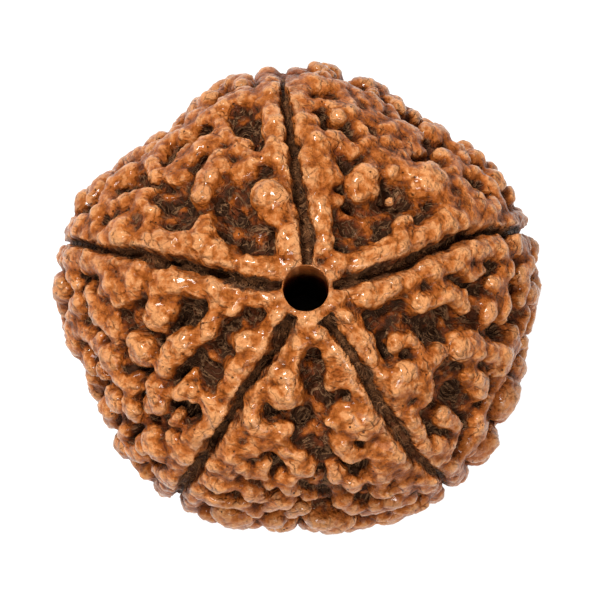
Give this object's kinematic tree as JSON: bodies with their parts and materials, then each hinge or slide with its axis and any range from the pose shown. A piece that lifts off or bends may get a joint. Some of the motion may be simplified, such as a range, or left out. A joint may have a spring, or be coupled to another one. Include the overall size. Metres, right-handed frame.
{
  "type": "rudraksha seed",
  "caption": "Roundish woody seed with deep grooves from pole to pole, a raised net of ridges and knobs between them, and a drilled hole through the middle for a cord.",
  "frame": {"origin": "middle of the seed's outline seen along the drilled hole, on the surface that the seed stands on", "axes": "+Z along the drilled hole, from the pole that the seed stands on to the pole in the picture; +X and +Y as right and up in the picture"},
  "size_m": [0.0223, 0.0216, 0.0188],
  "materials": {
    "seed_stone": "polished by oil and handling on the ridges, dark and rough in the valleys"
  },
  "bodies": {
    "root": {"rudraksha_seed": "seed_stone"}
  },
  "joints": []
}
